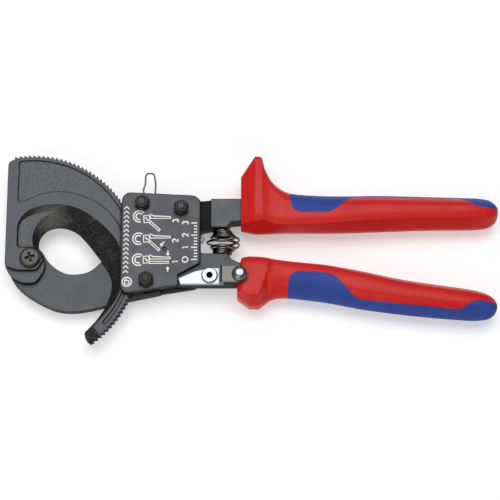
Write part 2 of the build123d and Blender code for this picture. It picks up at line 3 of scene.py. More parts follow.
import bmesh
import bpy
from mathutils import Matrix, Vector


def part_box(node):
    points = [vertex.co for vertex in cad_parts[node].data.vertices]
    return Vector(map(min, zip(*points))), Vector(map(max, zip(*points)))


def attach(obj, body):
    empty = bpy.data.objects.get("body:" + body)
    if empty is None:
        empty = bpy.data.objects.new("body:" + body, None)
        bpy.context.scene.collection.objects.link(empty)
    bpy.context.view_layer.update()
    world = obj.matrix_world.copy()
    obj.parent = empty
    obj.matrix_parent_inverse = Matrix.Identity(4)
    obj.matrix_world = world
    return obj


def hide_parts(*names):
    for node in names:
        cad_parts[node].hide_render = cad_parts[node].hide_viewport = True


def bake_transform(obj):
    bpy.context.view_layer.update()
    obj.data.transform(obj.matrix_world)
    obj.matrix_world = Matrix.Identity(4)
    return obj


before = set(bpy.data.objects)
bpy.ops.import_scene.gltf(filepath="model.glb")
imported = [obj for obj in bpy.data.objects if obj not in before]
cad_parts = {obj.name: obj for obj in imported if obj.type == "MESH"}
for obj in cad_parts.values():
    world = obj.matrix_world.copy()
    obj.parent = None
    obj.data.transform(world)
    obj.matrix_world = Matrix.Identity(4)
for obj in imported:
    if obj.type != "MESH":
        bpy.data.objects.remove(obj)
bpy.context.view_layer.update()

# Looks of a ratchet cable cutter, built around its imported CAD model. Lengths in this script are in
# millimetres about the blade pivot, as in the part's source, and place() turns them into the frame.
# Only the studio section, at the end, is in metres in the frame.

MM = 0.001
pivot_low, pivot_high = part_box("pivot_bush")
PIVOT = Vector(((pivot_low.x + pivot_high.x) / 2, (pivot_low.y + pivot_high.y) / 2,
                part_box("fixed_blade")[1].z))
PLATE_FACE_Z = (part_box("front_plate")[1].z - PIVOT.z) / MM
BLADE_FACE_Z = (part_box("moving_blade")[1].z - PIVOT.z) / MM


def place(x, y, z):
    """A point in millimetres about the blade pivot, in the frame."""
    return PIVOT + Vector((x, y, z)) * MM


# ---------------------------------------------------------------- mesh helpers
LONGEST_CURVE = 0.48       # the most of a side that the curve at one of its ends can take up


def mesh_object(name, vertices, faces, sharp_angle=40):
    """A mesh piece, smooth except where its faces meet at more than the sharp angle."""
    mesh = bpy.data.meshes.new(name)
    mesh.from_pydata([tuple(v) for v in vertices], [], faces)
    mesh.validate()
    shape = bmesh.new()
    shape.from_mesh(mesh)
    bmesh.ops.recalc_face_normals(shape, faces=shape.faces)
    shape.to_mesh(mesh)
    shape.free()
    piece = bpy.data.objects.new(name, mesh)
    bpy.context.scene.collection.objects.link(piece)
    smooth(piece, sharp_angle)
    return piece


def smooth(piece, sharp_angle):
    """Shade a piece smooth, apart from edges sharper than an angle in degrees."""
    piece.data.shade_smooth()
    piece.data.set_sharp_from_angle(angle=math.radians(sharp_angle))


def softened(points, reaches, steps=6):
    """A closed outline with each corner rounded: reach is how far the curve starts from it."""
    count = len(points)
    result = []
    for index, corner in enumerate(points):
        corner = Vector(corner)
        before = Vector(points[index - 1]) - corner
        after = Vector(points[(index + 1) % count]) - corner
        start = corner + before * min(LONGEST_CURVE, reaches[index] / max(before.length, 1e-9))
        end = corner + after * min(LONGEST_CURVE, reaches[index] / max(after.length, 1e-9))
        for step in range(steps + 1):
            u = step / steps
            result.append(tuple(start * (1 - u) ** 2 + corner * 2 * u * (1 - u) + end * u ** 2))
    return result


def prism_object(name, outline, z_range):
    """A closed outline raised over a range of Z."""
    count = len(outline)
    vertices = [place(x, y, z) for z in z_range for x, y in outline]
    faces = [tuple(reversed(range(count))), tuple(range(count, 2 * count))]
    for index in range(count):
        following = (index + 1) % count
        faces.append((index, following, count + following, count + index))
    return mesh_object(name, vertices, faces)


def cut(piece, tool, operation, sharp_angle=40):
    """Apply an exact boolean to a piece. The tool stays, for the next cut."""
    modifier = piece.modifiers.new("cut", "BOOLEAN")
    modifier.operation = operation
    modifier.solver = "EXACT"
    modifier.object = tool
    bpy.context.view_layer.update()
    evaluated = piece.evaluated_get(bpy.context.evaluated_depsgraph_get())
    mesh = bpy.data.meshes.new_from_object(evaluated)
    piece.modifiers.clear()
    piece.data = mesh
    smooth(piece, sharp_angle)


def copy_of(piece, name):
    """A second piece with its own copy of the mesh."""
    duplicate = bpy.data.objects.new(name, piece.data.copy())
    bpy.context.scene.collection.objects.link(duplicate)
    return duplicate


def discard(*pieces):
    """Remove tools and construction pieces from the scene."""
    for piece in pieces:
        bpy.data.objects.remove(piece)


def wire_object(name, points, radius, closed=False, flatten=None):
    """A round wire through points, or a flat ink line when it is flattened onto a height."""
    curve = bpy.data.curves.new(name, "CURVE")
    curve.dimensions = "3D"
    curve.bevel_depth = radius * MM
    curve.bevel_resolution = 5
    curve.use_fill_caps = True
    spline = curve.splines.new("POLY")
    spline.points.add(len(points) - 1)
    for point, target in zip(spline.points, points):
        point.co = (*place(*target), 1)
    spline.use_cyclic_u = closed
    temporary = bpy.data.objects.new(name + "_path", curve)
    bpy.context.scene.collection.objects.link(temporary)
    bpy.context.view_layer.update()
    mesh = bpy.data.meshes.new_from_object(temporary)
    discard(temporary)
    if flatten is not None:
        level = place(0, 0, flatten).z
        for vertex in mesh.vertices:
            vertex.co.z = level + (vertex.co.z - level) * INK_THICKNESS / (2 * radius)
    piece = bpy.data.objects.new(name, mesh)
    bpy.context.scene.collection.objects.link(piece)
    smooth(piece, 60)
    return piece


def joined(name, pieces):
    """Several pieces as one mesh."""
    vertices, faces = [], []
    for piece in pieces:
        offset = len(vertices)
        vertices += [vertex.co.copy() for vertex in piece.data.vertices]
        faces += [tuple(offset + v for v in face.vertices) for face in piece.data.polygons]
    discard(*pieces)
    return mesh_object(name, vertices, faces, 60)


# ---------------------------------------------------------------- material helpers
MM_PER_M = 1000.0
SHADE_SAMPLES = 8          # of the bevel and the ambient occlusion nodes
MIX_COLOUR_INPUTS = (0, 6, 7)      # the factor and the two colours of a mix node
MIX_COLOUR_OUTPUT = 2


def linear(red, green, blue):
    """The linear colour for screen values of 0 to 255."""
    values = []
    for value in (red, green, blue):
        value /= 255
        values.append(value / 12.92 if value <= 0.04045 else ((value + 0.055) / 1.055) ** 2.4)
    return (*values, 1.0)


class Finish:
    """A procedural material. Its textures are in object coordinates, with sizes in millimetres."""

    def __init__(self, name, roughness, metallic=0.0, specular=0.5):
        self.material = bpy.data.materials.new(name)
        self.material.use_nodes = True
        self.nodes = self.material.node_tree.nodes
        self.links = self.material.node_tree.links
        self.surface = self.nodes["Principled BSDF"]
        self.surface.inputs["Roughness"].default_value = roughness
        self.surface.inputs["Metallic"].default_value = metallic
        self.surface.inputs["Specular IOR Level"].default_value = specular
        self.position = self.nodes.new("ShaderNodeTexCoord").outputs["Object"]
        self.normal = None

    def feed(self, socket, value):
        """Link a node's output to a socket, or set the socket to a plain value."""
        if isinstance(value, bpy.types.NodeSocket):
            self.links.new(value, socket)
        else:
            socket.default_value = value

    def node(self, kind, settings=(), **inputs):
        """Add a node. Its inputs are given by name, or by position as i0, i1 and so on."""
        node = self.nodes.new(kind)
        for key, value in dict(settings).items():
            setattr(node, key, value)
        for key, value in inputs.items():
            by_position = key[0] == "i" and key[1:].isdigit()
            self.feed(node.inputs[int(key[1:]) if by_position else key], value)
        return node

    def noise(self, size, detail=4.0, roughness=0.6):
        """Noise whose features are about size millimetres across."""
        return self.node("ShaderNodeTexNoise", Vector=self.position, Scale=MM_PER_M / size, Detail=detail,
                         Roughness=roughness).outputs["Fac"]

    def cells(self, size):
        """Rounded grains about size millimetres across."""
        return self.node("ShaderNodeTexVoronoi", {"feature": "SMOOTH_F1"}, Vector=self.position,
                         Scale=MM_PER_M / size, Smoothness=0.4).outputs["Distance"]

    def spread(self, value, low, high, to_low=0.0, to_high=1.0):
        """Map a range of a value to another range, clamped and eased."""
        return self.node("ShaderNodeMapRange", {"interpolation_type": "SMOOTHSTEP"}, i0=value, i1=low,
                         i2=high, i3=to_low, i4=to_high).outputs[0]

    def math(self, operation, first, second=0.0):
        """One step of arithmetic on two values."""
        return self.node("ShaderNodeMath", {"operation": operation}, i0=first, i1=second).outputs[0]

    def blend(self, factor, first, second):
        """Mix two colours."""
        mix = self.node("ShaderNodeMix", {"data_type": "RGBA"})
        for index, value in zip(MIX_COLOUR_INPUTS, (factor, first, second)):
            self.feed(mix.inputs[index], value)
        return mix.outputs[MIX_COLOUR_OUTPUT]

    def facing(self):
        """How squarely the surface faces front or back, from 0 to 1."""
        geometry = self.node("ShaderNodeNewGeometry")
        axes = self.node("ShaderNodeSeparateXYZ", i0=geometry.outputs["True Normal"])
        return self.math("ABSOLUTE", axes.outputs["Z"])

    def coordinate(self, axis):
        """A coordinate about the blade pivot, in millimetres, with the piece at rest."""
        axes = self.node("ShaderNodeSeparateXYZ", i0=self.position)
        from_pivot = self.math("SUBTRACT", axes.outputs[axis], getattr(PIVOT, axis.lower()))
        return self.math("MULTIPLY", from_pivot, MM_PER_M)

    def distance(self, point):
        """How far the surface is from a point, in millimetres, with the piece at rest."""
        away = self.node("ShaderNodeVectorMath", {"operation": "DISTANCE"}, i0=self.position,
                         i1=tuple(place(*point))).outputs["Value"]
        return self.math("MULTIPLY", away, MM_PER_M)

    def rounded_edges(self, radius):
        """Shade the edges as if they had a small radius, and return a mask of those edges."""
        bevel = self.node("ShaderNodeBevel", {"samples": SHADE_SAMPLES}, Radius=radius * MM)
        self.normal = bevel.outputs[0]
        geometry = self.node("ShaderNodeNewGeometry")
        dot = self.node("ShaderNodeVectorMath", {"operation": "DOT_PRODUCT"}, i0=bevel.outputs[0],
                        i1=geometry.outputs["Normal"]).outputs["Value"]
        return self.spread(dot, 0.98, 0.75)

    def corners(self, reach):
        """A mask of inner corners and gaps, where painted shade goes."""
        nearby = self.node("ShaderNodeAmbientOcclusion", {"samples": SHADE_SAMPLES}, Distance=reach * MM)
        return self.spread(nearby.outputs["AO"], 0.85, 0.45)

    def bump(self, height, depth, strength=1.0):
        """Raise the surface by a height map. Depth is in millimetres."""
        node = self.node("ShaderNodeBump", Height=height, Distance=depth * MM, Strength=strength)
        if self.normal is not None:
            self.links.new(self.normal, node.inputs["Normal"])
        self.normal = node.outputs[0]

    def finish(self, colour, roughness=None):
        """Connect the colour, and the roughness if it varies, and return the material."""
        self.links.new(colour, self.surface.inputs["Base Color"])
        if roughness is not None:
            self.links.new(roughness, self.surface.inputs["Roughness"])
        if self.normal is not None:
            self.links.new(self.normal, self.surface.inputs["Normal"])
        return self.material


# ---------------------------------------------------------------- materials
BLADE_TIP = (29.5, -42.0, BLADE_FACE_Z)     # centre of the dark tip of the tail
STEEL = linear(80, 83, 88)
STEEL_SHADE = linear(75, 77, 81)
STEEL_DARK = linear(10, 10, 11)
STEEL_WORN = linear(104, 107, 111)
BEVEL_HIGHLIGHT_CENTRE = (9.0, 20.5, BLADE_FACE_Z)    # centre of the painted highlight on the ground bevel
BURNISHED_EDGE = (0.3, 0.3, 0.31, 1.0)      # how dark the burnished skin stays at a glancing angle
# strength of the painted shade along steel edges
EDGE_DARKNESS = 0.9
CATCH_FOLD_X = 96.9        # the fold between the catch's leaf and its thumb end
RIVET_FACE_Z = (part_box("catch_rivet")[1].z - PIVOT.z) / MM


def steel_face(look, face=STEEL, shade=STEEL_SHADE):
    """Colour of a satin steel face: two close greys with a fine light grain."""
    grain = look.noise(0.35, detail=3.0)
    cloud = look.noise(14.0, detail=5.0)
    colour = look.blend(look.spread(cloud, 0.3, 0.7), face, shade)
    return look.blend(look.spread(grain, 0.4, 0.75, 0.0, 0.3), colour, STEEL_WORN), grain, cloud


def darkened(look, colour, edges):
    """Paint shade onto a steel colour along its edges and in its corners."""
    colour = look.blend(look.math("MULTIPLY", edges, EDGE_DARKNESS), colour, STEEL_DARK)
    return look.blend(look.corners(0.9), colour, STEEL_DARK)


def burnished_steel(name, face=STEEL, shade=STEEL_SHADE, painted_shade_below=None):
    """Satin grey forged steel, with painted shade on its sides, at its edges and in its corners."""
    look = Finish(name, 0.5, metallic=0.4)
    look.surface.inputs["Specular Tint"].default_value = BURNISHED_EDGE
    edges = look.rounded_edges(0.7)
    colour, grain, cloud = steel_face(look, face, shade)
    # painted shade: faces turned away from the front and back are darkened
    colour = look.blend(look.spread(look.facing(), 0.9, 0.5), colour, STEEL_DARK)
    colour = darkened(look, colour, edges)
    # painted shade: the steel is darkened below a given height
    if painted_shade_below is not None:
        below = look.spread(look.coordinate("Z"), painted_shade_below, painted_shade_below - 0.3)
        colour = look.blend(below, colour, STEEL_DARK)
    look.bump(grain, 0.02, 0.5)
    return look.finish(colour, look.spread(cloud, 0.3, 0.7, 0.44, 0.54))


def cast_blade():
    """The moving blade: satin faces, a pebbled panel and a rough dark ground bevel with a painted highlight
    on it, and painted shade at its edges, in its corners and round its hub.
    """
    look = Finish("cast_blade_steel", 0.5, metallic=0.4)
    look.surface.inputs["Specular Tint"].default_value = BURNISHED_EDGE
    edges = look.rounded_edges(0.6)
    facing = look.facing()
    height = look.coordinate("Z")
    pebbles = look.cells(0.8)
    rough = look.noise(0.9, detail=6.0, roughness=0.75)
    streaks = look.noise(7.0, detail=6.0, roughness=0.7)
    flat = look.spread(facing, 0.955, 0.99)
    sunk = look.math("MULTIPLY", look.spread(height, BLADE_FACE_Z - 0.3, BLADE_FACE_Z - 0.6), flat)
    colour, grain, cloud = steel_face(look)
    pebble_tone = look.blend(look.spread(pebbles, 0.15, 0.7), linear(97, 100, 104), linear(76, 78, 81))
    colour = look.blend(look.math("MULTIPLY", sunk, 0.85), colour, pebble_tone)
    ground = look.blend(look.spread(rough, 0.4, 0.64), linear(16, 16, 16), linear(58, 57, 55))
    ground = look.blend(look.spread(streaks, 0.52, 0.72, 0.0, 0.7), ground, linear(84, 82, 77))
    # painted highlight on the ground bevel, round one point and broken up by the rough noise
    highlight_falloff = look.spread(look.distance(BEVEL_HIGHLIGHT_CENTRE), 12, 3)
    paler = look.math("MULTIPLY", highlight_falloff, look.spread(rough, 0.3, 0.6, 0.3, 1.0))
    ground = look.blend(paler, ground, linear(94, 91, 84))
    tip = look.spread(look.distance(BLADE_TIP), 7.2, 6.4)
    dark = look.math("MAXIMUM", look.math("SUBTRACT", 1.0, flat), tip)
    colour = look.blend(dark, colour, ground)
    colour = darkened(look, colour, edges)
    # painted shade with a wider reach, round the hub and the screw head
    colour = look.blend(look.math("MULTIPLY", look.corners(3.2), 0.85), colour, STEEL_DARK)
    look.bump(look.math("MULTIPLY", pebbles, sunk), 0.12, 0.7)
    look.bump(look.math("MULTIPLY", rough, dark), 0.25, 0.6)
    look.bump(grain, 0.02, 0.5)
    return look.finish(colour, look.spread(flat, 0.0, 1.0, 0.62, 0.48))


def plain_metal(name, colour, paler, roughness, metallic=0.9, edge=0.25, speckle=0.3):
    """Machined or blackened metal, paler in a fine speckle and along its edges, with painted shade in its
    corners.
    """
    look = Finish(name, roughness, metallic=metallic)
    edges = look.rounded_edges(edge)
    grain = look.noise(0.5, detail=4.0)
    smudge = look.noise(5.0, detail=5.0)
    tone = look.blend(look.spread(grain, 0.35, 0.7, 0.0, speckle), colour, paler)
    tone = look.blend(look.math("MULTIPLY", edges, look.spread(smudge, 0.3, 0.6, 0.15, 0.7)), tone, paler)
    # painted shade in corners and gaps
    tone = look.blend(look.corners(0.8), tone, STEEL_DARK)
    look.bump(grain, 0.015, 0.4)
    return look.finish(tone, look.spread(smudge, 0.3, 0.7, roughness * 0.85, roughness * 1.2))


def recessed_screw():
    """Greyish satin steel, with painted shade that turns it black down in the cross recess."""
    look = Finish("pivot_screw_steel", 0.42, metallic=0.85)
    edges = look.rounded_edges(0.25)
    grain = look.noise(0.4, detail=5.0)
    tone = look.blend(look.spread(grain, 0.35, 0.7), linear(61, 60, 56), linear(82, 80, 75))
    tone = look.blend(look.math("MULTIPLY", edges, 0.3), tone, linear(120, 118, 110))
    # painted shade: black down in the cross recess
    tone = look.blend(look.corners(2.4), tone, linear(6, 6, 6))
    look.bump(grain, 0.03, 0.5)
    return look.finish(tone)


def bent_catch():
    """Bright zinc, lighter on the leaf of the catch and a duller grey on its raised thumb end, with painted
    shade along its fold, at its edges and in its corners.
    """
    look = Finish("bright_zinc", 0.34, metallic=0.85)
    edges = look.rounded_edges(0.3)
    grain = look.noise(0.5, detail=4.0)
    leaf = look.blend(look.spread(grain, 0.35, 0.7, 0.0, 0.3), linear(146, 149, 151), linear(176, 179, 181))
    thumb = look.blend(look.spread(grain, 0.35, 0.7, 0.0, 0.5), linear(80, 81, 79), linear(98, 99, 96))
    tone = look.blend(look.spread(look.coordinate("Z"), PLATE_FACE_Z, PLATE_FACE_Z + 1.5), leaf, thumb)
    # painted shade along the fold between the leaf and the thumb end
    fold = look.math("ABSOLUTE", look.math("SUBTRACT", look.coordinate("X"), CATCH_FOLD_X))
    tone = look.blend(look.spread(fold, 0.75, 0.3), tone, STEEL_DARK)
    # painted shade at the edges and in the corners
    tone = look.blend(look.math("MULTIPLY", edges, 0.5), tone, linear(60, 60, 60))
    tone = look.blend(look.corners(0.8), tone, STEEL_DARK)
    look.bump(grain, 0.02, 0.4)
    return look.finish(tone)


def holed_rivet():
    """Bluish chrome, with painted shade that turns it black down in the hole."""
    look = Finish("rivet_chrome", 0.24, metallic=1.0)
    look.rounded_edges(0.25)
    grain = look.noise(0.5, detail=4.0)
    tone = look.blend(look.spread(grain, 0.35, 0.7), linear(126, 134, 144), linear(152, 158, 166))
    # painted shade: black down in the hole
    hole_shade = look.spread(look.coordinate("Z"), RIVET_FACE_Z - 0.6, RIVET_FACE_Z - 1.1)
    tone = look.blend(hole_shade, tone, linear(3, 3, 3))
    look.bump(grain, 0.015, 0.4)
    return look.finish(tone)


def nylon():
    """Matt black nylon, for the rings of the lock nuts."""
    look = Finish("black_nylon_ring", 0.55)
    tone = look.blend(look.noise(1.2), linear(28, 28, 30), linear(44, 44, 46))
    look.bump(look.noise(0.3), 0.01, 0.4)
    return look.finish(tone)


def hard_grip():
    """Satin red moulded plastic with a fine eroded skin."""
    look = Finish("red_hard_grip", 0.42, specular=0.24)
    look.rounded_edges(0.3)
    skin = look.cells(0.35)
    tint = look.noise(9.0, detail=4.0)
    fleck = look.noise(0.7, detail=4.0, roughness=0.8)
    tone = look.blend(look.spread(tint, 0.3, 0.7), linear(194, 17, 17), linear(187, 14, 16))
    tone = look.blend(look.spread(fleck, 0.46, 0.66, 0.0, 0.5), tone, linear(214, 58, 42))
    look.bump(skin, 0.05, 0.5)
    return look.finish(tone, look.spread(tint, 0.3, 0.7, 0.38, 0.45))


def soft_grip():
    """Matt blue elastomer with a coarser speckled skin."""
    look = Finish("blue_soft_grip", 0.62, specular=0.35)
    look.rounded_edges(0.3)
    skin = look.cells(0.5)
    fleck = look.noise(0.45, detail=3.0, roughness=0.7)
    tint = look.noise(8.0)
    tone = look.blend(look.spread(tint, 0.3, 0.7), linear(22, 58, 144), linear(17, 49, 129))
    tone = look.blend(look.spread(fleck, 0.48, 0.72, 0.0, 0.6), tone, linear(80, 106, 182))
    look.bump(skin, 0.06, 0.6)
    return look.finish(tone)


def printing_ink():
    """Off-white printing ink."""
    look = Finish("white_ink", 0.6)
    tone = look.blend(look.noise(0.6), linear(226, 224, 216), linear(246, 245, 240))
    look.bump(look.noise(0.3), 0.01, 0.3)
    return look.finish(tone)


def studio_floor():
    """A pale matt floor, slightly self-lit so that it stays white."""
    look = Finish("pale_floor", 0.85, specular=0.1)
    tone = look.blend(look.noise(400.0), linear(228, 228, 228), linear(225, 225, 225))
    look.surface.inputs["Emission Color"].default_value = linear(255, 255, 255)
    look.surface.inputs["Emission Strength"].default_value = 0.34
    return look.finish(tone)


# ---------------------------------------------------------------- grips
FINEST_STEP = 0.3          # spacing of a grip's rings at its collar and its rounded end
RING_STEP = 0.5            # where its shape changes fast
BODY_STEP = 1.5            # and along its plain body
COLLAR_END_X = 122         # where the grip's collar or guard stops
NECK_END_X = 134           # and where its neck runs into its plain body
TIP_LENGTH = 3             # length of the rounded end
TAPER_LENGTH = 12          # and of the taper before it
EASE_SHORT = 0.35          # stretch that a grip's shape is averaged over, at its collar
EASE_LONG = 5.0            # and along its plain body
EASE_FROM_X = 119.0        # where the stretch starts to grow
SHARP_EDGE = 28            # degrees between faces above which a grip keeps a crisp edge
SIDE_HALF = 1.5            # half height of the narrow inner side
ROLL = 3.4                 # width of the roll between the front and the inner edge
ROLL_DROP = 1.2            # and how far it drops

# stations along each grip: x, inner y, outer y, inner edge set-back, outer slope width,
# outer side half height, outer corner reach, half depth
FIXED_STATIONS = [
    (106.8, 15.4, 43.0, 2.4, 1.4, 5.2, 0.8, 6.9),
    (113.9, 13.9, 53.2, 4.7, 1.6, 8.4, 0.8, 10.35),
    (114.4, 13.9, 53.25, 4.8, 1.6, 8.6, 0.8, 10.4),
    (117.4, 13.9, 52.8, 5.0, 1.6, 8.6, 0.8, 10.4),
    (118.1, 14.0, 50.2, 4.9, 1.8, 8.4, 1.0, 10.3),
    (118.9, 14.0, 46.8, 4.8, 2.0, 8.0, 1.5, 10.0),
    (121.8, 14.1, 41.2, 4.0, 2.4, 6.5, 2.4, 9.3),
    (126.0, 14.4, 37.3, 2.4, 3.2, 5.0, 3.4, 9.2),
    (132.0, 14.8, 34.9, 1.8, 4.4, 3.2, 4.4, 9.7),
    (147.0, 14.5, 34.0, 2.4, 5.2, 2.4, 5.0, 10.2),
    (163.0, 14.6, 33.9, 3.7, 5.2, 2.4, 5.0, 10.4),
    (178.0, 15.2, 34.2, 4.0, 5.2, 2.4, 5.0, 10.4),
    (200.0, 16.0, 33.6, 3.9, 5.2, 2.4, 5.0, 10.3),
    (226.0, 16.2, 32.9, 4.0, 5.0, 2.2, 4.6, 10.0),
    (231.5, 16.5, 32.7, 3.8, 4.6, 2.0, 4.2, 9.4),
    (234.6, 17.7, 31.7, 3.2, 4.0, 1.7, 3.6, 8.2),
    (236.6, 19.4, 30.2, 2.2, 3.0, 1.4, 2.8, 6.8),
    (237.8, 21.3, 28.3, 1.2, 1.8, 1.0, 1.6, 5.2),
    (238.1, 22.6, 27.0, 0.7, 1.0, 0.8, 0.9, 4.2),
]
MOVING_STATIONS = [
    (104.9, -13.4, -20.0, 1.2, 2.0, 4.8, 0.6, 8.2),
    (105.7, -7.0, -20.7, 1.6, 2.6, 4.5, 0.6, 9.2),
    (106.7, 0.2, -21.4, 2.0, 3.2, 4.2, 0.6, 10.1),
    (107.6, 1.3, -22.1, 2.4, 3.6, 4.0, 0.6, 10.4),
    (111.2, 1.9, -24.9, 2.4, 4.2, 3.8, 0.8, 10.4),
    (115.8, 1.7, -24.9, 2.4, 4.4, 3.8, 0.8, 10.4),
    (118.2, 1.4, -23.3, 2.4, 9.0, 3.4, 1.6, 10.4),
    (120.4, 1.1, -21.8, 2.4, 14.0, 3.2, 2.6, 10.35),
    (121.6, 0.8, -21.0, 2.2, 8.0, 3.0, 4.0, 9.6),
    (125.0, 0.1, -19.9, 2.0, 6.4, 3.0, 4.8, 9.3),
    (132.0, -0.9, -19.8, 2.0, 5.8, 2.6, 5.0, 9.8),
    (150.6, -2.6, -22.2, 2.6, 5.6, 2.4, 5.0, 10.3),
    (168.9, -6.0, -25.9, 3.2, 5.6, 2.4, 5.0, 10.4),
    (187.0, -10.1, -28.3, 3.4, 5.6, 2.4, 5.0, 10.4),
    (204.8, -12.9, -30.2, 3.4, 5.6, 2.4, 5.0, 10.3),
    (223.0, -15.5, -31.6, 3.4, 5.2, 2.2, 4.6, 10.0),
    (229.2, -16.8, -31.6, 3.0, 4.4, 2.0, 4.0, 9.2),
    (232.6, -18.4, -30.4, 2.4, 3.6, 1.7, 3.4, 7.8),
    (234.6, -20.2, -29.0, 1.6, 2.6, 1.4, 2.6, 6.4),
    (235.6, -22.0, -27.4, 1.0, 1.5, 1.0, 1.5, 5.0),
    (235.9, -23.0, -26.6, 0.6, 0.9, 0.8, 0.8, 4.2),
]
INLAY_GAP = 0.12           # half the width of the groove round an inlay
INLAY_CORNER = 4.0         # reach of an inlay's rounded corners
# outlines of the inlays, which run on past the outer side and the end of each grip
FIXED_INLAY = [(132.0, 60.0), (132.0, 26.9), (135.2, 23.0), (153.4, 23.0), (160.0, 29.2),
               (164.4, 32.2), (219.4, 31.6), (226.6, 25.9), (260.0, 24.4), (260.0, 60.0)]
MOVING_INLAY = [(130.0, -60.0), (130.6, -11.4), (134.4, -7.7), (152.4, -9.2), (157.2, -13.6),
                (164.6, -22.0), (217.0, -27.6), (222.4, -23.8), (226.0, -23.0), (260.0, -26.0),
                (260.0, -60.0)]
# outlines of the arms' tangs, which run on past the front end of each grip
FIXED_TANG = [(100.0, 19.3), (214.0, 21.1), (216.2, 24.0), (214.0, 28.1), (100.0, 31.5)]
MOVING_TANG = [(100.0, -1.2), (170.0, -12.5), (212.0, -19.7), (213.6, -23.0), (211.0, -26.7),
               (168.0, -19.7), (100.0, -13.0)]
TANG_Z = (-4.95, 5.25)
ZONE_Z = (-20, 20)         # taller than a grip, so that a zone cuts right through it


def interpolated(stations, x):
    """The station values at a place along a grip."""
    if x <= stations[0][0]:
        return stations[0][1:]
    for first, second in zip(stations, stations[1:]):
        if x <= second[0]:
            t = (x - first[0]) / (second[0] - first[0])
            return tuple(a + (b - a) * t for a, b in zip(first[1:], second[1:]))
    return stations[-1][1:]


def eased(stations, x):
    """Station values averaged over a short stretch, longer on the plain body than at the ends."""
    along_body = EASE_SHORT + max(0.0, x - EASE_FROM_X) * 0.25
    to_end = (stations[-1][0] - x) * 0.6 + 0.05
    reach = min(along_body, EASE_LONG, to_end)
    samples = [interpolated(stations, x + reach * offset / 4) for offset in range(-4, 5)]
    return tuple(sum(values) / len(values) for values in zip(*samples))


def grip_ring(values):
    """The outline of a grip across its length: a flat inner side, a rolled front and a round outer side."""
    inner, outer, edge, slope, side, reach, depth = values
    width = abs(outer - inner)
    direction = 1 if outer > inner else -1
    roll = min(ROLL, (width - edge - slope) * 0.45)
    half_side = min(SIDE_HALF, depth * 0.3)
    front = [(0, half_side, 1.2), (edge, depth - ROLL_DROP, 0.3), (edge + roll, depth, 1.8),
             (width - slope, depth, reach), (width, side, reach)]
    corners = front + [(t, -z, r) for t, z, r in reversed(front)]
    points = [(inner + direction * t, z) for t, z, _ in corners]
    return softened(points, [r for _, _, r in corners], steps=5)


def ring_step(x, end):
    """How far it is from one ring of a grip to the next."""
    if x < COLLAR_END_X or x > end - TIP_LENGTH:
        return FINEST_STEP
    if x < NECK_END_X or x > end - TAPER_LENGTH:
        return RING_STEP
    return BODY_STEP


def ring_places(stations):
    """Where the rings of a grip stand: close together where its shape changes, wider along its body."""
    start, end = stations[0][0], stations[-1][0]
    places = [start]
    while places[-1] < end - 0.01:
        places.append(min(end, places[-1] + ring_step(places[-1], end)))
    return places


def grip_object(name, stations):
    """A grip lofted through closely spaced rings, with rounded-off ends."""
    vertices, faces = [], []
    rings = [(x, eased(stations, x)) for x in ring_places(stations)]
    for x, values in rings:
        vertices += [place(x, y, z) for y, z in grip_ring(values)]
    count = len(vertices) // len(rings)
    for row in range(len(rings) - 1):
        for index in range(count):
            following = (index + 1) % count
            base = row * count
            faces.append((base + index, base + following, base + count + following, base + count + index))
    faces.append(tuple(range(count)))
    faces.append(tuple(reversed(range(len(vertices) - count, len(vertices)))))
    return mesh_object(name, vertices, faces, SHARP_EDGE)


def offset_outline(points, reaches, distance, outwards):
    """A zone's outline moved in or out by a distance, with rounded corners."""
    moved = []
    count = len(points)
    for index, (x, y) in enumerate(points):
        before = Vector(points[index - 1])
        after = Vector(points[(index + 1) % count])
        along = (after - before).normalized()
        moved.append((x + outwards * along.y * distance, y - outwards * along.x * distance))
    return softened(moved, reaches)


def two_colour_grip(side, stations, zone, tang, body):
    """A red grip with a blue inlay let into it, and a socket for the arm's tang."""
    reaches = [0.5] + [INLAY_CORNER] * (len(zone) - 2) + [0.5]
    turning = 1 if side == "fixed" else -1
    shell = grip_object(side + "_hard_grip", stations)
    tang_tool = prism_object("tang_tool", softened(tang, [0.5] * len(tang)), TANG_Z)
    cut(shell, tang_tool, "DIFFERENCE", SHARP_EDGE)
    skin = copy_of(shell, side + "_soft_inlay")
    inner_zone = prism_object("inner_zone", offset_outline(zone, reaches, INLAY_GAP, turning), ZONE_Z)
    outer_zone = prism_object("outer_zone", offset_outline(zone, reaches, -INLAY_GAP, turning), ZONE_Z)
    cut(shell, outer_zone, "DIFFERENCE", SHARP_EDGE)
    cut(skin, inner_zone, "INTERSECT", SHARP_EDGE)
    discard(tang_tool, inner_zone, outer_zone)
    for piece, node, slot, material in ((shell, side + "_grip", "red_grip", RED),
                                        (skin, side + "_grip_inlay", "blue_grip", BLUE)):
        piece.data.materials.clear()
        piece.data.materials.append(material)
        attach(piece, body)
        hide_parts(node)


# ---------------------------------------------------------------- return spring
SPRING_X = 97.1
SPRING_LOW, SPRING_HIGH = 2.5, 16.2
SPRING_TURNS = 9
SPRING_WIRE_R = 0.6
SPRING_END_R, SPRING_WAIST_R = 4.4, 8.9
SPRING_OPENING = 3.2       # how much wider the middle pitch is than that of the end turns
SPRING_OPEN_POWER = 20     # how much the opening keeps to the middle turns
SPRING_BOW = 1.3           # how far its waist is pushed towards the grips
SPRING_FLARE_POWER = 3.5   # how suddenly the wire swells out to the waist
SPRING_PLAIN_CONE = 0.15   # share of that swelling which is a plain cone
STEPS_PER_TURN = 28


